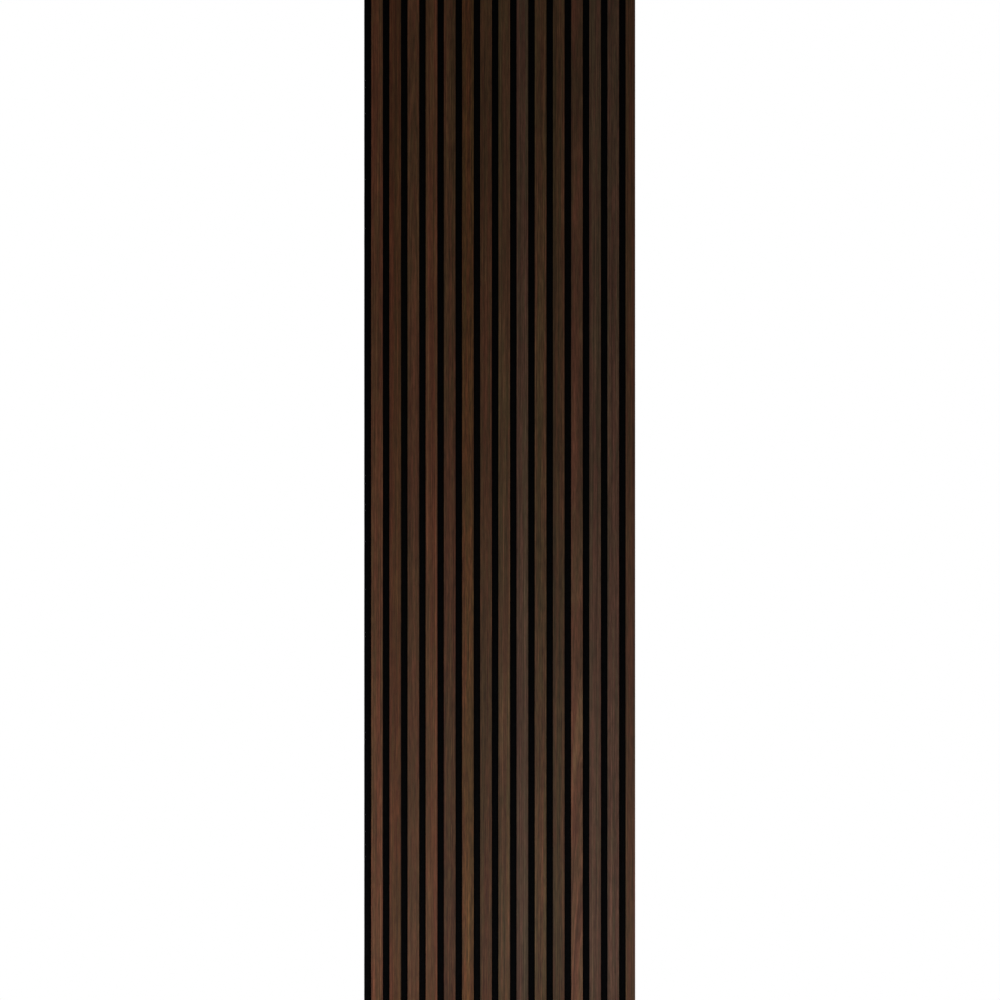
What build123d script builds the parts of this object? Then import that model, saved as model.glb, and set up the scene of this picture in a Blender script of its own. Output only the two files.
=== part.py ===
from build123d import *
import os

# Slatted acoustic wall panel: veneered MDF slats glued and stapled to a sheet of felt.
# It stands as it hangs on a wall. X runs across the slats, left to right from the front,
# Y runs back into the wall and Z runs up. The origin is the centre of the felt's back face.

# Driving dimensions in millimetres: the panel and its slats
panel_length = 2400.0
slat_count = 15
slat_width = 25.5
slat_gap = 14.7
edge_strip = 16.2  # felt left bare beside the first slat
edge_slat_width = 21.0  # the last slat, sawn off flush with the panel's edge

# Thicknesses, from the wall outwards
felt_thickness = 9.0
core_thickness = 11.4
veneer_thickness = 0.6
arris_radius = 0.4  # eased front edges of the veneer
arris_share = 0.8  # of the veneer's thickness that the eased edges may take

# Staples, driven through the felt into the backs of the slats
staple_rows = 5
staple_end_margin = 100.0  # from the end of a slat to its first staple
staple_crown = 12.8  # outside width
staple_bite = 5.4  # depth that the legs reach into a slat
staple_point = 0.5  # height of the chisel point
staple_bend = 0.35  # flat cut that stands for the round outside of a bend
wire_width = 1.2
wire_thickness = 0.7
crown_sink = 0.4  # the crown is pulled this far below the felt's back face
leg_clearance = 0.05  # round each leg, and round the crown in its dent

# Worked out from the driving dimensions
slat_pitch = slat_width + slat_gap
panel_width = edge_strip + (slat_count - 1) * slat_pitch + edge_slat_width
panel_left = -panel_width / 2
panel_bottom = -panel_length / 2
arris = min(arris_radius, arris_share * veneer_thickness)
staple_leg = felt_thickness + staple_bite - crown_sink
leg_offset = (staple_crown - wire_thickness) / 2
leg_hole_width = wire_thickness + 2 * leg_clearance
leg_hole_height = wire_width + 2 * leg_clearance
dent_width = staple_crown + 2 * leg_clearance
dent_depth = crown_sink + wire_thickness + leg_clearance

slat_widths = [slat_width] * (slat_count - 1) + [edge_slat_width]
slat_lefts = [panel_left + edge_strip + slat_pitch * index for index in range(slat_count)]
slat_middles = [left + width / 2 for left, width in zip(slat_lefts, slat_widths)]
row_spacing = (panel_length - 2 * staple_end_margin) / (staple_rows - 1)
row_heights = [panel_bottom + staple_end_margin + row_spacing * row for row in range(staple_rows)]
staple_places = [(middle, height) for middle in slat_middles for height in row_heights]


def leg_places(places):
    """Where the two legs of each staple go in, for staples at these places."""
    return [(x + side * leg_offset, z) for x, z in places for side in (-1, 1)]


# Planes that the pieces are drawn on: Plane.XZ is the back face, and it looks to the front
back_face = Plane.XZ
felt_front = Plane.XZ.offset(felt_thickness)
bottom_end = Plane.XY.offset(panel_bottom)

os.makedirs("parts", exist_ok=True)

# Felt backing: one sheet, with a dent for each staple's crown and two holes for its legs
with BuildPart() as felt_backing:
    with BuildSketch(back_face):
        Rectangle(panel_width, panel_length)
    extrude(amount=felt_thickness)
    with BuildSketch(back_face):
        with Locations(*staple_places):
            Rectangle(dent_width, leg_hole_height)
    extrude(amount=dent_depth, mode=Mode.SUBTRACT)
    with BuildSketch(back_face):
        with Locations(*leg_places(staple_places)):
            Rectangle(leg_hole_width, leg_hole_height)
    extrude(amount=felt_thickness, mode=Mode.SUBTRACT)
felt_backing.part.label = "felt_backing"
export_step(felt_backing.part, "parts/felt_backing.step")

# Slats: a black MDF core on the felt, and a strip of veneer on its face
for number, (left, width, middle) in enumerate(zip(slat_lefts, slat_widths, slat_middles), start=1):
    with BuildPart() as slat_core:
        with BuildSketch(bottom_end):
            with Locations((left, -felt_thickness)):
                Rectangle(width, core_thickness, align=(Align.MIN, Align.MAX))
        extrude(amount=panel_length)
        with BuildSketch(felt_front):
            with Locations(*leg_places([(middle, height) for height in row_heights])):
                Rectangle(leg_hole_width, leg_hole_height)
        extrude(amount=staple_bite + leg_clearance, mode=Mode.SUBTRACT)
    slat_core.part.label = f"slat_core_{number:02d}"
    export_step(slat_core.part, f"parts/slat_core_{number:02d}.step")

    with BuildPart() as veneer_strip:
        with BuildSketch(bottom_end) as veneer_section:
            with Locations((left, -felt_thickness - core_thickness)):
                Rectangle(width, veneer_thickness, align=(Align.MIN, Align.MAX))
            front_corners = veneer_section.vertices().group_by(Axis.Y)[0].sort_by(Axis.X)
            eased = front_corners[:1] if number == slat_count else front_corners
            fillet(eased, radius=arris)
        extrude(amount=panel_length)
    veneer_strip.part.label = f"veneer_strip_{number:02d}"
    export_step(veneer_strip.part, f"parts/veneer_strip_{number:02d}.step")

# One staple: flat wire bent to a U, with chisel points on the inner sides of its legs
with BuildPart() as staple:
    with BuildSketch(Plane.XY) as staple_section:
        with Locations((0, -crown_sink)):
            Rectangle(staple_crown, staple_leg, align=(Align.CENTER, Align.MAX))
        with Locations((0, -crown_sink - wire_thickness)):
            leg_space = staple_crown - 2 * wire_thickness
            Rectangle(leg_space, staple_leg, align=(Align.CENTER, Align.MAX), mode=Mode.SUBTRACT)
        chamfer(staple_section.vertices().group_by(Axis.Y)[-1], length=staple_bend)
        tips = staple_section.vertices().group_by(Axis.Y)[0].sort_by(Axis.X)
        chamfer(tips[1:3], length=staple_point)
    extrude(amount=wire_width / 2, both=True)

# All the staples, one in each place
with BuildPart() as staples:
    with Locations(*[(x, 0, z) for x, z in staple_places]):
        add(staple.part)
staples.part.label = "staples"
export_step(staples.part, "parts/staples.step")

print(f"panel {panel_width:.1f} x {panel_length:.1f} mm, slat pitch {slat_pitch:.1f} mm")
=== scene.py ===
# %% [markdown]
# # A slatted acoustic panel
# The panel is a sheet of black felt with fifteen slats stapled to it. Each slat is a bar of
# black fibreboard with a strip of dark walnut veneer on its face. The solids are built
# elsewhere, at their real size, so this lesson only dresses them: it loads the solids,
# sets up a camera and light, and then makes each piece look like what it is made of.

# %% Load the solids
import bpy
import math
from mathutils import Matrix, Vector, noise


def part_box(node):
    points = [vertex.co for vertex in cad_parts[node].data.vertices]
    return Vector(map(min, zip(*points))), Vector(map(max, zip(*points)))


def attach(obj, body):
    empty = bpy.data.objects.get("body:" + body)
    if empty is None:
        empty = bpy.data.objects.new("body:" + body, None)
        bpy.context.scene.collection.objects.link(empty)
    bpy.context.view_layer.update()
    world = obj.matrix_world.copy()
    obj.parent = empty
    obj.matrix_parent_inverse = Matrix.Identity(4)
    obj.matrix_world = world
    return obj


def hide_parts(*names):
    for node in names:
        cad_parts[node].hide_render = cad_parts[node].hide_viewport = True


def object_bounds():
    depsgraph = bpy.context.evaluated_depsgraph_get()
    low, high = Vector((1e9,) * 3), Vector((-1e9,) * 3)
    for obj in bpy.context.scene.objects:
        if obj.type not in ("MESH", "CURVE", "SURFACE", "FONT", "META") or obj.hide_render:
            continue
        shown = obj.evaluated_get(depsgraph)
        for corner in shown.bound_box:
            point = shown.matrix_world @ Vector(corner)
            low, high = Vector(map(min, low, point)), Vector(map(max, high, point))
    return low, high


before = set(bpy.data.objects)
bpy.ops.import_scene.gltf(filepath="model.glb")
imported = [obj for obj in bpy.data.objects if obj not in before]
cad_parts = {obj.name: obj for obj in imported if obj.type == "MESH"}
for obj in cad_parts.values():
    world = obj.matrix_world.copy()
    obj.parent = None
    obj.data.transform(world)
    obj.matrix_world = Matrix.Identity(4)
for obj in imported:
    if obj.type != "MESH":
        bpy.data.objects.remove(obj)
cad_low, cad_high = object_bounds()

SLAT_COUNT = sum(name.startswith("slat_core_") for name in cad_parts)
print("box in metres", [round(side, 4) for side in cad_high - cad_low], "slats", SLAT_COUNT)

# %% [markdown]
# ## The camera
# The picture looks straight at the panel from far off, with no lines that run together.
# A flat camera would do that, but it has no lens for other views to use, so this one has
# a long lens and stands well back. The distance follows from how much of the panel the
# frame has to show: both ends run out of the picture.

# %% Set the camera
LENS_MM = 150.0
SENSOR_MM = 36.0
FRAME_HEIGHT = 2.2115  # metres of the panel's face, from the top of the picture to the bottom
CAMERA_SIDE = 0.001  # the panel stands this far left of the picture's middle

camera_data = bpy.data.cameras.new("camera")
camera_data.lens = LENS_MM
camera_data.sensor_width = SENSOR_MM
camera = bpy.data.objects.new("camera", camera_data)
bpy.context.scene.collection.objects.link(camera)
camera_distance = FRAME_HEIGHT * LENS_MM / SENSOR_MM
camera.location = (CAMERA_SIDE, cad_low.y - camera_distance, 0.0)
camera.rotation_euler = (math.pi / 2, 0.0, 0.0)
bpy.context.scene.camera = camera
bpy.context.scene.view_settings.view_transform = "Standard"
print("camera stands", round(camera_distance, 2), "m in front of the face")

# %% [markdown]
# ## Nodes without the clutter
# A material in Blender is a graph of nodes. Adding nodes one by one takes many lines, so a
# few small helpers come first. Each adds one node and gives back the socket that carries
# its result, so that a material reads like a recipe. Colours are written as screen values
# from 0 to 255 and turned into the linear light that shaders work in.

# %% Helpers for nodes
def linear(share):
    """The standard curve of screens undone: straight near black, and a power above that."""
    return share / 12.92 if share <= 0.04045 else ((share + 0.055) / 1.055) ** 2.4


def tone(red, green, blue):
    """A screen colour, from 0 to 255, as the linear colour that a shader takes."""
    return (*[linear(value / 255) for value in (red, green, blue)], 1.0)


def add_node(tree, kind, inputs, **properties):
    """A new node. A socket given as an input is linked, and any other value is set."""
    made = tree.nodes.new(kind)
    for name, value in properties.items():
        setattr(made, name, value)
    for key, value in inputs.items():
        if isinstance(value, bpy.types.NodeSocket):
            tree.links.new(value, made.inputs[key])
        else:
            made.inputs[key].default_value = value
    return made


def calculate(tree, operation, first, second=0.0, third=0.0):
    """One step of arithmetic on numbers or sockets."""
    inputs = {0: first, 1: second, 2: third}
    return add_node(tree, "ShaderNodeMath", inputs, operation=operation).outputs[0]


def between(tree, value, low, high, to_low=0.0, to_high=1.0):
    """A value moved smoothly from one range to another and held at its ends."""
    inputs = {"Value": value, 1: low, 2: high, 3: to_low, 4: to_high}
    return add_node(tree, "ShaderNodeMapRange", inputs, interpolation_type="SMOOTHSTEP").outputs[0]


print("middle grey in linear light", round(tone(128, 128, 128)[0], 3))

# %% [markdown]
# ## Starting a material
# Every finish below starts the same way: a new material with one shader, and the place of a
# point measured in the panel's own frame. Patterns that follow this place need no unwrapping,
# and they stay on the panel when it is seen from elsewhere.

# %% Helpers for materials
def start_material(name):
    """A new material: its tree, its shader and the place of a point in the panel's own frame."""
    material = bpy.data.materials.new(name)
    material.use_nodes = True
    tree = material.node_tree
    shader = tree.nodes["Principled BSDF"]
    place = tree.nodes.new("ShaderNodeTexCoord").outputs["Object"]
    return material, tree, shader, place


def set_inputs(tree, shader, **values):
    """Sets or links the shader's inputs, named in words joined by underscores."""
    for words, value in values.items():
        socket = shader.inputs[words.replace("_", " ")]
        if isinstance(value, bpy.types.NodeSocket):
            tree.links.new(value, socket)
        else:
            socket.default_value = value


def coat(node_name, material):
    """Gives one of the loaded solids its finish."""
    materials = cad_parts[node_name].data.materials
    materials.clear()
    materials.append(material)


print("solids to finish", len(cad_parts))

# %% [markdown]
# ## White surroundings
# The panel stands in a white studio. A plain white world would do for the background, but it
# would also flood the dark wood with light. So the world shows white to the camera and in
# reflections, and gives less light than that to the panel.

# %% Make the world
WORLD_LIGHT = 0.38  # how strongly the surroundings light the panel
WHITE = (1.0, 1.0, 1.0, 1.0)


def seen_directly(tree):
    """One for rays that show the background itself: from the camera, or by gloss or glass."""
    path = tree.nodes.new("ShaderNodeLightPath")
    glossy = calculate(tree, "MAXIMUM", path.outputs["Is Camera Ray"], path.outputs["Is Glossy Ray"])
    return calculate(tree, "MAXIMUM", glossy, path.outputs["Is Transmission Ray"])


world = bpy.data.worlds.new("white_studio")
world.use_nodes = True
bpy.context.scene.world = world
sky = world.node_tree
sky_strength = calculate(sky, "MULTIPLY_ADD", seen_directly(sky), 1 - WORLD_LIGHT, WORLD_LIGHT)
set_inputs(sky, sky.nodes["Background"], Color=WHITE, Strength=sky_strength)
print("light from the world", WORLD_LIGHT)

# %% [markdown]
# ## The floor
# A studio floor is a sheet of white paper that sweeps up out of sight. Modelling the sweep
# would show its bend in some views. Here a flat disc keeps the panel's shadow near its foot
# and fades into the same white as the world further out.

# %% Lay the floor
FLOOR_RADIUS = 3.0
FLOOR_CORNERS = 96
FLOOR_COLOUR = tone(230, 230, 230)
FLOOR_LIFT = 0.35  # brings the lit floor up to white for the camera
SHADOW_NEAR, SHADOW_FAR = 0.10, 0.45  # metres from the panel's foot over which the shadow fades


def white_sweep():
    """Paper that keeps a shadow near the panel's foot and is plain white further out."""
    material, tree, shader, place = start_material("white_sweep")
    tree.nodes.remove(shader)
    x, y, _ = add_node(tree, "ShaderNodeSeparateXYZ", {0: place}).outputs
    past_edge = calculate(tree, "SUBTRACT", calculate(tree, "ABSOLUTE", x), cad_high.x)
    beside = calculate(tree, "MAXIMUM", past_edge, 0.0)
    beside_squared = calculate(tree, "MULTIPLY", beside, beside)
    from_foot = calculate(tree, "SQRT", calculate(tree, "MULTIPLY_ADD", y, y, beside_squared))
    direct = seen_directly(tree)
    fade = calculate(tree, "MULTIPLY", between(tree, from_foot, SHADOW_NEAR, SHADOW_FAR), direct)
    lift = calculate(tree, "MULTIPLY", direct, FLOOR_LIFT)
    matt = add_node(tree, "ShaderNodeBsdfDiffuse", {"Color": FLOOR_COLOUR}).outputs[0]
    glow = add_node(tree, "ShaderNodeEmission", {"Strength": lift}).outputs[0]
    paper = add_node(tree, "ShaderNodeAddShader", {0: matt, 1: glow}).outputs[0]
    white = add_node(tree, "ShaderNodeEmission", {"Strength": 1.0}).outputs[0]
    surface = add_node(tree, "ShaderNodeMixShader", {0: fade, 1: paper, 2: white}).outputs[0]
    tree.links.new(surface, tree.nodes["Material Output"].inputs["Surface"])
    return material


floor_turns = [2 * math.pi * corner / FLOOR_CORNERS for corner in range(FLOOR_CORNERS)]
floor_rim = [(math.cos(turn), math.sin(turn)) for turn in floor_turns]
floor_points = [(FLOOR_RADIUS * x, FLOOR_RADIUS * y, cad_low.z) for x, y in floor_rim]
floor_mesh = bpy.data.meshes.new("floor")
floor_mesh.from_pydata(floor_points, [], [range(FLOOR_CORNERS)])
floor_mesh.materials.append(white_sweep())
floor = bpy.data.objects.new("floor", floor_mesh)
bpy.context.scene.collection.objects.link(floor)
print("floor at", round(cad_low.z, 3), "m")

# %% [markdown]
# ## Soft lamps
# The panel is lit more strongly at its foot than at its head. One lamp with a gradient in front
# of it could do that, but distance alone is simpler: a wide soft lamp hangs low in front, and a
# small one close to the foot adds the last of the brightness there. Two lamps behind keep
# the back and the sides readable. A lamp's power is chosen so that colours come out about as
# written.

# %% Hang the lamps
# Each lamp's place and aim, its width and height, all in metres, and its watts
LAMPS = {
    "low_front_lamp": ((0.0, -2.2, -0.75), (0.0, 0.0, -0.75), (1.8, 0.6), 26.5),
    "foot_lamp": ((0.0, -0.7, -1.10), (0.0, 0.0, -1.10), (1.2, 0.15), 3.6),
    "left_back_lamp": ((-2.2, 2.4, 1.2), (0.0, 0.0, 0.0), (1.6, 1.6), 45.0),
    "right_back_lamp": ((2.6, 2.0, 0.4), (0.0, 0.0, 0.0), (1.6, 1.6), 25.0),
}


def hang_lamp(name, hung_at, aimed_at, size, watts):
    """A soft rectangular lamp that isn't seen itself."""
    lamp = bpy.data.lights.new(name, "AREA")
    lamp.shape = "RECTANGLE"
    lamp.size, lamp.size_y = size
    lamp.energy = watts
    holder = bpy.data.objects.new(name, lamp)
    holder.location = hung_at
    holder.rotation_euler = (Vector(aimed_at) - Vector(hung_at)).to_track_quat("-Z", "Y").to_euler()
    holder.visible_camera = False
    bpy.context.scene.collection.objects.link(holder)


for lamp_name, lamp_facts in LAMPS.items():
    hang_lamp(lamp_name, *lamp_facts)

# %% [markdown]
# ## Patterns from noise
# Wood, board and felt all vary without repeating. A picture of each could be stretched over the
# pieces, but it would repeat and blur close up. Soft noise does neither: it is stretched to the
# size that a pattern has on the real thing, long along the grain for wood, and then
# pushed into colours, shades or heights.

# %% Helpers for patterns
NOISE_LOW, NOISE_MIDDLE, NOISE_HIGH = 0.25, 0.50, 0.75  # where soft noise mostly swings


def move(tree, vector, offset):
    """A vector moved by an offset."""
    return add_node(tree, "ShaderNodeVectorMath", {0: vector, 1: offset}, operation="ADD").outputs[0]


def stretch(tree, vector, across, through, along):
    """A vector counted in pattern sizes, in metres, across, through and along the slats."""
    inputs = {0: vector, 1: (1 / across, 1 / through, 1 / along)}
    return add_node(tree, "ShaderNodeVectorMath", inputs, operation="MULTIPLY").outputs[0]


def cloud(tree, vector, detail=2.0, roughness=0.5, distortion=0.0):
    """Soft noise about one half, with a pattern size of one."""
    settings = {"Detail": detail, "Roughness": roughness, "Distortion": distortion}
    inputs = {"Vector": vector, "Scale": 1.0, **settings}
    return add_node(tree, "ShaderNodeTexNoise", inputs).outputs["Fac"]


def off_middle(tree, value):
    """How far soft noise lies from its middle, below zero on the low side."""
    return calculate(tree, "SUBTRACT", value, NOISE_MIDDLE)


def swing(tree, value, strength):
    """A factor that swings about one as soft noise swings about its middle."""
    return between(tree, value, NOISE_LOW, NOISE_HIGH, 1 - strength, 1 + strength)


def product(tree, factors):
    """All the factors multiplied together."""
    total, *others = factors
    for factor in others:
        total = calculate(tree, "MULTIPLY", total, factor)
    return total


def blend_colours(tree, share, first, second, way="MIX"):
    """Two colours mixed, with a share of the second."""
    inputs = {0: share, 6: first, 7: second}
    return add_node(tree, "ShaderNodeMix", inputs, data_type="RGBA", blend_type=way).outputs[2]


def bump(tree, height, depth):
    """A normal that follows a height of 0 to 1, with its depth in metres."""
    inputs = {"Height": height, "Distance": depth, "Strength": 1.0}
    return add_node(tree, "ShaderNodeBump", inputs).outputs[0]


print("noise mostly lies between", NOISE_LOW, "and", NOISE_HIGH)

# %% [markdown]
# ## Walnut veneer
# Veneer is a shaving of a log, so its figure is the log's growth rings as the knife met
# them. The strips of one panel come from several sheets: some are redder, some greyer, and
# some grow lighter or redder towards one end. One material for all would hide that, so each
# strip gets its own kind of walnut, its own cut and its own stretch of the log.
#
# A knife that passes far to the side of the pith gives straight lines, which is a quarter or a
# rift cut. One that passes close by gives tall arches, which is a crown cut. Half a crown shows
# only one flank of the arches, as slanting lines.

# %% Choose the veneers
# The body colour of each kind of walnut, as screen values
WALNUTS = {
    "russet": (69, 43, 27),
    "ruddy": (61, 40, 27),
    "chestnut": (62, 37, 21),
    "hazel": (59, 38, 24),
    "golden": (62, 39, 20),
    "umber": (56, 36, 22),
    "smoky": (51, 35, 21),
    "olive": (56, 40, 25),
    "tawny": (60, 42, 26),
    "ash": (57, 41, 30),
    "rosy": (58, 41, 30),
}
# How the knife met the log: the pith's distance to the side, its depth, how fast that grows
# upwards, and the width of a ring, in metres. Then how much darker, or lighter if below zero,
# the late wood of a ring looks
CUTS = {
    "quarter": (0.40, 0.030, 0.004, 0.0042, 0.28),
    "rift": (0.11, 0.060, 0.006, 0.0042, 0.28),
    "crown": (0.0015, 0.012, 0.020, 0.0060, -0.28),
    "half crown": (0.012, 0.030, 0.024, 0.0045, -0.22),
}
ALL = 9.0  # reach of a figure that covers the whole strip, in metres
# Each strip from left to right: the kind of walnut, the cut, the height of its figure and how far
# that reaches, how much redder the right side is, how much lighter and how much redder the foot is
# than the head, and the strength of the short flecks
VENEERS = [
    ("russet", "rift", 0.0, ALL, -0.2, 0.1, 0.0, 1.0),
    ("chestnut", "quarter", 0.0, ALL, -1.2, 0.1, 0.0, 0.9),
    ("hazel", "crown", 0.80, 0.6, 0.1, 0.0, 0.05, 0.9),
    ("russet", "quarter", 0.0, ALL, 0.2, 0.0, 0.0, 0.8),
    ("umber", "rift", 0.0, ALL, 0.1, -0.2, 0.14, 1.2),
    ("golden", "rift", 0.0, ALL, -0.4, 0.2, 0.0, 1.4),
    ("umber", "quarter", 0.0, ALL, 0.3, -0.1, 0.07, 1.0),
    ("olive", "rift", 0.0, ALL, 0.4, 0.2, 0.05, 0.8),
    ("ash", "quarter", 0.0, ALL, -0.8, 0.0, -0.15, 0.8),
    ("tawny", "rift", 0.0, ALL, 0.0, -0.1, -0.05, 1.2),
    ("smoky", "quarter", 0.0, ALL, 0.6, -0.3, 0.0, 1.0),
    ("ruddy", "half crown", -0.85, 0.9, -0.4, 0.3, 0.11, 1.0),
    ("rosy", "rift", 0.0, ALL, 0.0, -0.2, 0.1, 0.8),
    ("ash", "quarter", 0.0, ALL, 0.2, -0.1, 0.07, 1.0),
    ("umber", "quarter", 0.0, ALL, 0.8, 0.0, 0.0, 0.8),
]
print("veneers", [veneer[0] for veneer in VENEERS])

# %% [markdown]
# ## Growth rings
# A bundle of stripes could be bent into arches, but rings come out right by themselves if the
# material holds a log. It measures how far a point lies from the pith, strays a little to the
# side as real grain does, and counts that distance in ring widths. The part of each count
# after the point is where in a ring the point lies: it starts in soft early wood and ends in a
# band of dense late wood.

# %% Cut the log into rings
# The patterns of the wood: how far each reaches across and along the grain, in metres, how many
# finer layers it has, and how strong those are
PATTERNS = {
    "wander": (0.08, 0.60, 2.0, 0.5),
    "uneven rings": (0.012, 0.70, 3.0, 0.5),
    "streak": (0.0048, 2.60, 4.0, 0.6),
    "line": (0.0032, 0.20, 3.0, 0.6),
    "fleck": (0.0034, 0.034, 3.0, 0.65),
    "blush": (0.0080, 0.55, 3.0, 0.6),
    "flush": (0.0085, 0.045, 2.0, 0.5),
    "drift": (0.050, 0.30, 2.0, 0.5),
    "fibre": (0.0007, 0.070, 3.0, 0.6),
    "pore": (0.00035, 0.009, 1.0, 0.5),
}
WANDER_WIDTH = 0.006  # how far the grain strays to the side, in metres
UNEVEN_RINGS = 2.0  # how far the count of rings strays
LATE_START, LATE_FULL, LATE_END = 0.30, 0.90, 0.92  # of a ring, where its late wood sets in and ends
PLAIN_DARKNESS = 0.05  # of the late wood beyond a figure's reach


def pattern(tree, grain, name):
    """One of the wood's patterns, about one half."""
    across, along, detail, roughness = PATTERNS[name]
    return cloud(tree, stretch(tree, grain, across, across, along), detail, roughness)


def growth_rings(tree, patch, cut, figure_height, reach):
    """The distance of a point from the pith, and how much the late wood darkens it."""
    pith_side, pith_depth, taper, ring_width, darkness = CUTS[cut]
    x, _, z = add_node(tree, "ShaderNodeSeparateXYZ", {0: patch}).outputs
    wander = off_middle(tree, pattern(tree, patch, "wander"))
    straight_side = calculate(tree, "SUBTRACT", x, pith_side)
    side = calculate(tree, "MULTIPLY_ADD", wander, WANDER_WIDTH, straight_side)
    above = calculate(tree, "SUBTRACT", z, figure_height)
    on_figure = between(tree, above, -reach, reach, -reach, reach)
    depth = calculate(tree, "MULTIPLY_ADD", on_figure, taper, pith_depth)
    depth_squared = calculate(tree, "MULTIPLY", depth, depth)
    radius = calculate(tree, "SQRT", calculate(tree, "MULTIPLY_ADD", side, side, depth_squared))
    uneven = calculate(tree, "MULTIPLY", pattern(tree, patch, "uneven rings"), UNEVEN_RINGS)
    ring = calculate(tree, "FRACT", calculate(tree, "MULTIPLY_ADD", radius, 1 / ring_width, uneven))
    setting_in = between(tree, ring, LATE_START, LATE_FULL)
    late_wood = calculate(tree, "MULTIPLY", setting_in, between(tree, ring, 1.0, LATE_END))
    off_figure = calculate(tree, "ABSOLUTE", above)
    darkening = between(tree, off_figure, reach / 2, reach, darkness, PLAIN_DARKNESS)
    return radius, calculate(tree, "MULTIPLY", late_wood, darkening)


print("rings in a quarter cut strip", round((cad_high.x - cad_low.x) / SLAT_COUNT / CUTS["quarter"][3], 1))

# %% [markdown]
# ## The colour of walnut
# Walnut is brown with darker and lighter streaks that follow the rings. Across these lie
# patches that lean to red or to olive, some as long as a hand and some as short as a nail. One
# ramp of browns would give every strip the same colours, so the streaks start from the strip's
# own body colour, and the patches only tint it.

# %% Colour the wood
DARK_STREAK, LIGHT_STREAK = 0.60, 1.50  # of the body colour
OLIVE_TINT = (0.90, 1.05, 0.94, 1.0)
RED_TINT = (1.18, 0.945, 1.0, 1.0)
TINT_RANGE = (0.30, 0.70)  # of the blush, from all olive to all red
BLUSH_SHIFT = (0.0, 0.5, 0.0)  # keeps the blush from following the streaks
FLUSH_SHARE = 0.42  # of the short patches of colour, beside the long ones
RED_GAIN = 0.15  # of the blush at STRIP_HALF to the right, on a strip with a red side of one
STRIP_HALF = 0.013  # metres, about half a strip's width


def walnut_colour(tree, patch, grain, kind, red_side, redder):
    """The colour of a strip: dark and light streaks, tinted in red and olive patches."""
    body = tone(*WALNUTS[kind])
    dark = [DARK_STREAK * share for share in body[:3]] + [1.0]
    light = [LIGHT_STREAK * share for share in body[:3]] + [1.0]
    streak = pattern(tree, grain, "streak")
    colour = blend_colours(tree, between(tree, streak, NOISE_LOW, NOISE_MIDDLE), dark, body)
    colour = blend_colours(tree, between(tree, streak, NOISE_MIDDLE, NOISE_HIGH), colour, light)
    x = add_node(tree, "ShaderNodeSeparateXYZ", {0: patch}).outputs[0]
    flush = off_middle(tree, pattern(tree, patch, "flush"))
    blush = pattern(tree, move(tree, grain, BLUSH_SHIFT), "blush")
    blush = calculate(tree, "MULTIPLY_ADD", flush, FLUSH_SHARE, blush)
    blush = calculate(tree, "MULTIPLY_ADD", x, RED_GAIN * red_side / STRIP_HALF, blush)
    blush = calculate(tree, "ADD", blush, redder)
    tint = blend_colours(tree, between(tree, blush, *TINT_RANGE), OLIVE_TINT, RED_TINT)
    return blend_colours(tree, 1.0, colour, tint, way="MULTIPLY")


print("darkest and lightest streak", DARK_STREAK, LIGHT_STREAK)

# %% [markdown]
# ## The finished veneer
# Light and dark also come from finer things: lines along the grain, short flecks, fibres, and
# the open pores that walnut is known for. They could each be a layer of paint, but as factors
# of one shade they can be made stronger or weaker without changing the colour. Pores are also
# hollows, so they go into the bump as well. The lacquer is matt and thin, with little shine.

# %% Finish the strips
LOG_STEP = 7.3  # metres along the log from one strip to the next, so that no pattern is shared
SWINGS = {"drift": 0.10, "line": 0.28, "fleck": 0.30, "fibre": 0.18}  # of the light, as a share
EARLY_WOOD = 1.08  # lightness of the wood between two bands of late wood
PORE_RANGE = (0.60, 0.72)  # of its noise, from no pore to a full one
PORE_DARKNESS, PORE_BALANCE = 0.40, 1.04  # loss of light in a pore, and gain that makes up for it
PORE_DEPTH = 0.00006  # metres
FIBRE_HEIGHT = 0.4  # of the pores' depth
FIBRE_RANGE = (0.2, 0.8)
LACQUER_ROUGHNESS = (0.40, 0.54)
LACQUER_SHINE = 0.05


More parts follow.
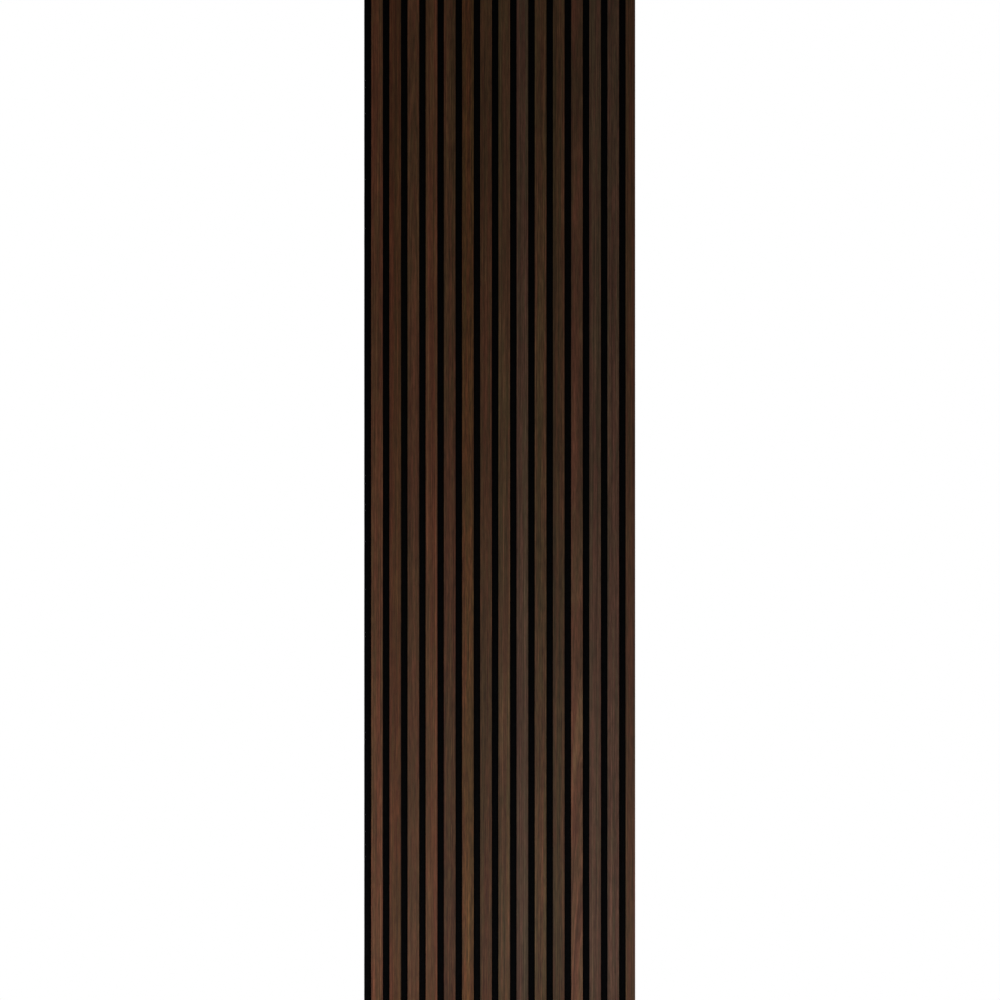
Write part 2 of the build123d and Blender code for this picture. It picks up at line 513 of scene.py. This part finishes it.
def walnut(name, middle, index, kind, cut, figure_height, reach, red_side, light_foot, red_foot, flecks):
    """Veneer of one kind and cut for the slat whose middle is at that place across the panel."""
    material, tree, shader, place = start_material(name)
    log_place = LOG_STEP * index
    foot, head = log_place + cad_low.z, log_place + cad_high.z
    patch = move(tree, place, (-middle, 0.0, log_place))
    radius, late_wood = growth_rings(tree, patch, cut, log_place + figure_height, reach)
    z = add_node(tree, "ShaderNodeSeparateXYZ", {0: patch}).outputs[2]
    grain = add_node(tree, "ShaderNodeCombineXYZ", {0: radius, 1: index, 2: z}).outputs[0]
    fibre = pattern(tree, patch, "fibre")
    pore = between(tree, pattern(tree, patch, "pore"), *PORE_RANGE)
    shade = product(tree, [
        calculate(tree, "SUBTRACT", EARLY_WOOD, late_wood),
        between(tree, z, foot, head, 1 + light_foot / 2, 1 - light_foot / 2),
        swing(tree, pattern(tree, patch, "drift"), SWINGS["drift"]),
        swing(tree, pattern(tree, grain, "line"), SWINGS["line"]),
        swing(tree, pattern(tree, patch, "fleck"), SWINGS["fleck"] * flecks),
        swing(tree, fibre, SWINGS["fibre"]),
        calculate(tree, "MULTIPLY_ADD", pore, -PORE_DARKNESS, PORE_BALANCE),
    ])
    grey = add_node(tree, "ShaderNodeCombineColor", {0: shade, 1: shade, 2: shade}).outputs[0]
    redder = between(tree, z, foot, head, red_foot / 2, -red_foot / 2)
    colour = walnut_colour(tree, patch, grain, kind, red_side, redder)
    colour = blend_colours(tree, 1.0, colour, grey, way="MULTIPLY")
    height = calculate(tree, "SUBTRACT", calculate(tree, "MULTIPLY", fibre, FIBRE_HEIGHT), pore)
    roughness = between(tree, fibre, *FIBRE_RANGE, *LACQUER_ROUGHNESS)
    set_inputs(tree, shader, Base_Color=colour, Roughness=roughness,
               Normal=bump(tree, height, PORE_DEPTH), Specular_IOR_Level=LACQUER_SHINE)
    return material


for index, veneer in enumerate(VENEERS):
    strip_name = f"veneer_strip_{index + 1:02d}"
    low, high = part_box(strip_name)
    coat(strip_name, walnut(f"walnut_{index + 1:02d}", (low.x + high.x) / 2, index, *veneer))
print("strips finished", len(VENEERS))

# %% [markdown]
# ## Black fibreboard
# The slats' cores are fibreboard dyed black all through, and only their sides and ends show.
# A flat black would hide the sawn edges, so the material has their fine speckle of fibres, a
# little lighter than the dye, and a broad mottle where the dye took unevenly.

# %% Finish the cores
SPECKLE_SIZE = (0.0012, 0.0012, 0.0025)  # metres across, through and along the slats
MOTTLE_SIZE = (0.030, 0.030, 0.080)
DYE_TONE, SPECKLE_TONE, MOTTLE_TONE = tone(15, 14, 13), tone(36, 33, 30), tone(18, 17, 16)
SPECKLE_RANGE = (0.35, 0.75)  # of its noise, from plain dye to a full speckle
MOTTLE_RANGE = (0.35, 0.70)
MOTTLE_SHARE = 0.5
BOARD_RANGE = (0.3, 0.7)
BOARD_ROUGHNESS = (0.70, 0.88)
BOARD_BUMP = 0.0002
BOARD_SHINE = 0.12


def fibreboard():
    """Black through-dyed fibreboard with a fine speckle."""
    material, tree, shader, place = start_material("black_fibreboard")
    speckle = cloud(tree, stretch(tree, place, *SPECKLE_SIZE), detail=3.0, roughness=0.65)
    mottle = cloud(tree, stretch(tree, place, *MOTTLE_SIZE), detail=2.0)
    colour = blend_colours(tree, between(tree, speckle, *SPECKLE_RANGE), DYE_TONE, SPECKLE_TONE)
    mottled = between(tree, mottle, *MOTTLE_RANGE, 0.0, MOTTLE_SHARE)
    colour = blend_colours(tree, mottled, colour, MOTTLE_TONE)
    roughness = between(tree, speckle, *BOARD_RANGE, *BOARD_ROUGHNESS)
    set_inputs(tree, shader, Base_Color=colour, Roughness=roughness,
               Normal=bump(tree, speckle, BOARD_BUMP), Specular_IOR_Level=BOARD_SHINE)
    return material


core_names = [f"slat_core_{index + 1:02d}" for index in range(SLAT_COUNT)]
core_material = fibreboard()
for core_name in core_names:
    coat(core_name, core_material)
print("cores finished", len(core_names))

# %% [markdown]
# ## Needled felt
# The felt is needled from black polyester fibres. Seen close, it is a tangle of short fibres
# with a soft sheen at a shallow angle. Its front was pressed with heat, which lays the fibres
# down and leaves it a deep black. Its back is rough: loose strands stand out from it, and it is
# cloudy, because the fibres weren't spread evenly. One material can show both sides, because
# it knows how far a point lies from the front. A cloud of noise has no threads in it, so a
# strand is drawn where a twisted cloud passes through its middle value: that is a thin curl.

# %% Write the felt material
TANGLE_SIZE, CURL_SIZE, TUFT_SIZE = [(size, size, size) for size in (0.0016, 0.0022, 0.012)]
WEB_SIZE = (0.055, 0.055, 0.120)
STRAND_LAYERS = 3
STRAND_SHIFT = Vector((0.31, 0.17, 0.23))  # metres from one layer of strands to the next
STRAND_WIDTH = 0.010  # as a share of the cloud's swing
# The pressed front and the rough back: the dark and the light of the tangle, and the strands on it
FRONT_TONES = (tone(2, 2, 2), tone(6, 6, 7), tone(24, 24, 26))
BACK_TONES = (tone(15, 15, 16), tone(42, 42, 44), tone(100, 100, 103))
PRESSED_DEPTH, ROUGH_DEPTH = 0.004, 0.0005  # from the back, where the front's look ends and the back's starts
TANGLE_RANGE = (0.40, 0.72)  # of its noise, from dark to light
WEB_RANGE = (0.30, 0.70)
WEB_SHARE = 0.8  # by which thin places of the back darken
TUFT_HEIGHT, STRAND_HEIGHT = 0.5, 0.3  # of the tangle's depth
FELT_BUMP = 0.0006


def felt_strands(tree, place):
    """One on the loose strands, which lie over each other in layers."""
    strands = 0.0
    for layer in range(STRAND_LAYERS):
        shifted = move(tree, place, layer * STRAND_SHIFT)
        curl = cloud(tree, stretch(tree, shifted, *CURL_SIZE), detail=1.0, distortion=2.0)
        from_strand = calculate(tree, "ABSOLUTE", off_middle(tree, curl))
        strand = between(tree, from_strand, 0.0, STRAND_WIDTH, 1.0, 0.0)
        strands = calculate(tree, "MAXIMUM", strand, strands)
    return strands


def needled_felt():
    """Black felt: loose curly strands on a darker tangle, rougher and lighter at the back."""
    material, tree, shader, place = start_material("black_felt")
    tangle = cloud(tree, stretch(tree, place, *TANGLE_SIZE), detail=4.0, roughness=0.7, distortion=1.5)
    tufts = cloud(tree, stretch(tree, place, *TUFT_SIZE), detail=3.0)
    web = cloud(tree, stretch(tree, place, *WEB_SIZE), detail=4.0, roughness=0.6)
    strands = felt_strands(tree, place)
    depth = add_node(tree, "ShaderNodeSeparateXYZ", {0: place}).outputs[1]
    rough = between(tree, depth, -PRESSED_DEPTH, -ROUGH_DEPTH)
    dark, light, loose = [blend_colours(tree, rough, *pair) for pair in zip(FRONT_TONES, BACK_TONES)]
    colour = blend_colours(tree, between(tree, tangle, *TANGLE_RANGE), dark, light)
    thin = calculate(tree, "MULTIPLY", between(tree, web, *WEB_RANGE, 0.0, WEB_SHARE), rough)
    colour = blend_colours(tree, thin, colour, dark)
    colour = blend_colours(tree, calculate(tree, "MULTIPLY", strands, tufts), colour, loose)
    height = calculate(tree, "MULTIPLY_ADD", tufts, TUFT_HEIGHT, tangle)
    height = calculate(tree, "MULTIPLY_ADD", strands, STRAND_HEIGHT, height)
    set_inputs(tree, shader, Base_Color=colour, Roughness=0.95, Normal=bump(tree, height, FELT_BUMP),
               Specular_IOR_Level=0.0, Sheen_Weight=0.04, Sheen_Roughness=0.5)
    return material


felt_material = needled_felt()
print("nodes in the felt", len(felt_material.node_tree.nodes))

# %% [markdown]
# ## The shape of the felt
# Felt is soft, so it isn't a flat board. It swells a little between the slats, it is drawn in
# round each staple, and its cut edges are slightly rounded and uneven. A displaced plane
# would show that on one side only, so the sheet is laid out here as a net of lines that the
# front and the back share. The lines lie close where the surface bends: beside a slat and
# round a staple.

# %% Lay out the net
EDGE_ROUND = 0.0010
PLAIN_STEP = 0.030  # metres between the lines along the panel where nothing bends
SLOT_LINES = (0.0, 0.0012, 0.0034)  # from a slat's edge into the slot beside it
STAPLE_SIDE_LINES = (0.0, 0.0032, 0.0064, 0.0073, 0.0090)  # from a staple's middle to the side
STAPLE_RISE_LINES = (0.0, 0.0006, 0.0013, 0.0026, 0.0050, 0.0090)  # and up or down
STAPLE_ROWS = 5
WIRE_WIDTH = 0.0012
SAME_PLACE = 0.0002  # two lines as close as this are one
BOTH_WAYS = (-1, 1)

felt_low, felt_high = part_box("felt_backing")
staples_low, staples_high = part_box("staples")
slats = [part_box(core_name) for core_name in core_names]
slat_middles = [(low.x + high.x) / 2 for low, high in slats]
first_row = staples_low.z + WIRE_WIDTH / 2
row_step = (staples_high.z - staples_low.z - WIRE_WIDTH) / (STAPLE_ROWS - 1)
staple_rows = [first_row + row_step * row for row in range(STAPLE_ROWS)]


def lines_between(low, high, wanted):
    """Sorted lines from low to high that keep the wanted ones and leave no two on the same place."""
    lines = [low]
    for line in sorted(wanted):
        if lines[-1] + SAME_PLACE < line < high - SAME_PLACE:
            lines.append(line)
    return lines + [high]


def near_staples(z):
    """Whether a height lies among the lines round a row of staples."""
    return min(abs(z - row) for row in staple_rows) <= STAPLE_RISE_LINES[-1]


slot_sides = [(low.x, -1) for low, _ in slats] + [(high.x, 1) for _, high in slats]
x_wanted = [edge + way * step for edge, way in slot_sides for step in SLOT_LINES]
x_wanted += [(left[1].x + right[0].x) / 2 for left, right in zip(slats, slats[1:])]
x_wanted += [x + way * step for x in slat_middles for step in STAPLE_SIDE_LINES for way in BOTH_WAYS]
z_wanted = [z + way * step for z in staple_rows for step in STAPLE_RISE_LINES for way in BOTH_WAYS]
plain_count = int((felt_high.z - felt_low.z) / PLAIN_STEP)
plain_lines = [felt_low.z + PLAIN_STEP * step for step in range(1, plain_count)]
z_wanted += [z for z in plain_lines if not near_staples(z)]
x_lines = lines_between(felt_low.x + EDGE_ROUND, felt_high.x - EDGE_ROUND, x_wanted)
z_lines = lines_between(felt_low.z + EDGE_ROUND, felt_high.z - EDGE_ROUND, z_wanted)
print("net", len(x_lines), "by", len(z_lines))

# %% [markdown]
# ## The felt's heights
# Each crossing of the net gets a height on the front and one on the back. Cloth simulation could
# press the felt under the staples, but felt this thick hardly folds, and a formula shows the same
# thing in no time: a swelling that sets in beside a slat, and a dent that is steep at the wire
# and shallow further out. A little noise takes the evenness away.

# %% Give the net its heights
PUFF = 0.00035  # how far the felt swells between two slats
PUFF_REACH = 0.0036  # how far from a slat it has swollen fully
UNEVEN = 0.00012
DENT_DEPTH = 0.00112  # down to the underside of a staple's crown
STEEP_SHARE, STEEP_REACH = 0.55, 0.0009  # of a dent, close to the wire
WIDE_SHARE, WIDE_REACH = 0.45, 0.0040  # and further out
CROWN_HALF = 0.0064
FRONT_RIPPLE, BACK_RIPPLE = (0.02, 1.0), (0.03, 5.0)  # size in metres, and place in the noise


def smooth_step(share):
    """From 0 to 1 with a soft start and end."""
    share = min(max(share, 0.0), 1.0)
    return share * share * (3 - 2 * share)


def ripple(x, z, size, noise_place):
    """A gentle unevenness from 0 to 1, with a pattern size in metres."""
    return 0.5 + 0.5 * noise.noise(Vector((x / size, noise_place, z / size)))


def front_height(x, z):
    """The felt's front: flat under a slat and slightly swollen beside one."""
    clear = min(max(low.x - x, x - high.x) for low, high in slats)
    swelling = PUFF - UNEVEN * ripple(x, z, *FRONT_RIPPLE)
    return felt_low.y - swelling * smooth_step(clear / PUFF_REACH)


def back_height(x, z):
    """The felt's back: slightly uneven, and drawn in round each staple."""
    beside = max(min(abs(x - middle) for middle in slat_middles) - CROWN_HALF, 0.0)
    above = max(min(abs(z - row) for row in staple_rows) - WIRE_WIDTH / 2, 0.0)
    away = math.hypot(beside, above)
    steep = STEEP_SHARE * math.exp(-away / STEEP_REACH)
    wide = WIDE_SHARE * math.exp(-away / WIDE_REACH)
    return felt_high.y - max(DENT_DEPTH * (steep + wide), UNEVEN * ripple(x, z, *BACK_RIPPLE))


corners = []
for height in (front_height, back_height):
    for z in z_lines:
        corners += [(x, height(x, z), z) for x in x_lines]
columns, rows = len(x_lines), len(z_lines)
back_start = columns * rows
sheet_faces = []
for row in range(rows - 1):
    for column in range(columns - 1):
        here = row * columns + column
        above = here + columns
        front_face = (here, here + 1, above + 1, above)
        sheet_faces.append(front_face)
        sheet_faces.append(tuple(back_start + corner for corner in (here, above, above + 1, here + 1)))
print("felt corners", len(corners))

# %% [markdown]
# ## The felt's rim
# The cut edge of felt is soft: its two corners are rounded, and fibres leave it slightly ragged.
# A bevel would round it evenly, so the rim is built here point by point. It goes round the net's border in
# loops, each turned a little further from the front to the back, and noise draws each
# point in by up to a quarter of a millimetre, never out past the panel's size.

# %% Close the rim
RIM_TURNS = (math.pi / 6, math.pi / 3, math.pi / 2)  # of the rounding, from the flat side outwards
EDGE_UNEVEN = 0.00025
EDGE_RIPPLE = (0.006, 9.0)  # size in metres, and place in the noise

last_row = (rows - 1) * columns
border = list(range(columns)) + [row * columns + columns - 1 for row in range(1, rows)]
border += [last_row + column for column in range(columns - 2, -1, -1)]
border += [row * columns for row in range(rows - 2, 0, -1)]


def rim_point(start, turn, side):
    """A point on the rounded edge of one side, beside a point on the net's border."""
    x, y, z = start
    out_x = (x == x_lines[-1]) - (x == x_lines[0])
    out_z = (z == z_lines[-1]) - (z == z_lines[0])
    out = (EDGE_ROUND - EDGE_UNEVEN * ripple(x, z + y, *EDGE_RIPPLE)) * math.sin(turn)
    return x + out * out_x, y + side * EDGE_ROUND * (1 - math.cos(turn)), z + out * out_z


loops = [border]
for side, offset, turns in ((1, 0, RIM_TURNS), (-1, back_start, RIM_TURNS[::-1])):
    for turn in turns:
        loops.append(range(len(corners), len(corners) + len(border)))
        corners += [rim_point(corners[offset + index], turn, side) for index in border]
loops.append([back_start + index for index in border])
rim_faces = []
for near, far in zip(loops, loops[1:]):
    for index in range(len(border)):
        following = (index + 1) % len(border)
        rim_faces.append((near[index], far[index], far[following], near[following]))


def place_piece(name, points, faces, material, node):
    """A smooth mesh that stands for a solid, moves with the panel and takes that slot's finish."""
    mesh = bpy.data.meshes.new(name)
    mesh.from_pydata(points, [], faces)
    mesh.materials.append(material)
    mesh.shade_smooth()
    piece = bpy.data.objects.new(name, mesh)
    bpy.context.scene.collection.objects.link(piece)
    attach(piece, "root")
    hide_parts(node)


place_piece("felt_sheet", corners, sheet_faces + rim_faces, felt_material, "felt_backing")
print("felt faces", len(sheet_faces) + len(rim_faces))

# %% [markdown]
# ## Galvanised staples
# Staples hold the slats: flat steel wire with a thin coat of zinc, driven through the felt from
# the back. Only their crowns show. Zinc dulls in patches, so a plain mirror would look wrong:
# a soft cloud moves both the grey and the roughness a little.

# %% Write the zinc material
ZINC_PATCH = (0.003, 0.003, 0.003)  # metres
DULL_ZINC, BRIGHT_ZINC = tone(150, 151, 154), tone(190, 191, 194)
ZINC_RANGE = (0.35, 0.65)  # of the cloud, from dull to bright
ZINC_ROUGH_RANGE = (0.3, 0.7)
ZINC_ROUGHNESS = (0.28, 0.45)


def galvanised_wire():
    """Zinc on steel wire, slightly dulled in patches."""
    material, tree, shader, place = start_material("galvanised_wire")
    patches = cloud(tree, stretch(tree, place, *ZINC_PATCH), detail=3.0)
    colour = blend_colours(tree, between(tree, patches, *ZINC_RANGE), DULL_ZINC, BRIGHT_ZINC)
    roughness = between(tree, patches, *ZINC_ROUGH_RANGE, *ZINC_ROUGHNESS)
    set_inputs(tree, shader, Base_Color=colour, Metallic=1.0, Roughness=roughness)
    return material


zinc_material = galvanised_wire()
print("nodes in the zinc", len(zinc_material.node_tree.nodes))

# %% [markdown]
# ## One staple
# A staple is bent round, not folded sharply. A curve with a bevel would give the bends, but
# then the chisel points would have to be cut later. So a section of the wire with eased
# corners is carried along the bent path here, and made thinner at the two tips.

# %% Bend the wire
WIRE_THICKNESS = 0.0007
WIRE_EASE = 0.00012  # of the wire's corners
BEND_RADIUS = 0.0008  # of the wire's middle line
BEND_STEPS = 5
POINT_LENGTH = 0.0006
POINT_SHARE = 0.15  # of the thickness, left at the very tip

leg_x = CROWN_HALF - WIRE_THICKNESS / 2
crown_y = staples_high.y - WIRE_THICKNESS / 2
tip = (leg_x + (1 - POINT_SHARE) * WIRE_THICKNESS / 2, staples_low.y)
above_tip = (leg_x, staples_low.y + POINT_LENGTH)
# One half of the path from the tip to the middle: place, the way the wire faces outwards, thickness
half_path = [(tip, 0.0, POINT_SHARE), (above_tip, 0.0, 1.0)]
for step in range(BEND_STEPS + 1):
    turn = math.pi / 2 * step / BEND_STEPS
    bend_x = leg_x - BEND_RADIUS * (1 - math.cos(turn))
    bend_y = crown_y - BEND_RADIUS * (1 - math.sin(turn))
    half_path.append(((bend_x, bend_y), turn, 1.0))
path = half_path + [((-x, y), math.pi - turn, share) for (x, y), turn, share in half_path[::-1]]

half_thick, half_wide = WIRE_THICKNESS / 2, WIRE_WIDTH / 2
section = []
for out, up in ((1, 1), (-1, 1), (-1, -1), (1, -1)):
    on_edge = (out * (half_thick - WIRE_EASE), up * half_wide)
    on_flat = (out * half_thick, up * (half_wide - WIRE_EASE))
    section += [on_flat, on_edge] if out * up > 0 else [on_edge, on_flat]

staple_points = []
for (x, y), turn, share in path:
    for out, up in section:
        staple_points.append((x + share * out * math.cos(turn), y + share * out * math.sin(turn), up))
sides = len(section)
first_end = tuple(range(sides))
last_end = tuple(range(len(staple_points) - 1, len(staple_points) - sides - 1, -1))
staple_faces = [first_end, last_end]
for station in range(len(path) - 1):
    for side in range(sides):
        here = station * sides + side
        following = station * sides + (side + 1) % sides
        staple_faces.append((here, here + sides, following + sides, following))
print("corners in a staple", len(staple_points))

# %% [markdown]
# ## All the staples
# Every slat has a staple in each row. Linked copies would save memory, but one mesh for them all
# keeps them together as the one piece that stands for their solids.

# %% Drive the staples
wire_points, wire_faces = [], []
for middle in slat_middles:
    for row in staple_rows:
        first = len(wire_points)
        wire_points += [(middle + x, y, row + z) for x, y, z in staple_points]
        wire_faces += [tuple(first + corner for corner in face) for face in staple_faces]
place_piece("staple_wires", wire_points, wire_faces, zinc_material, "staples")
print("staples", len(slat_middles) * len(staple_rows))
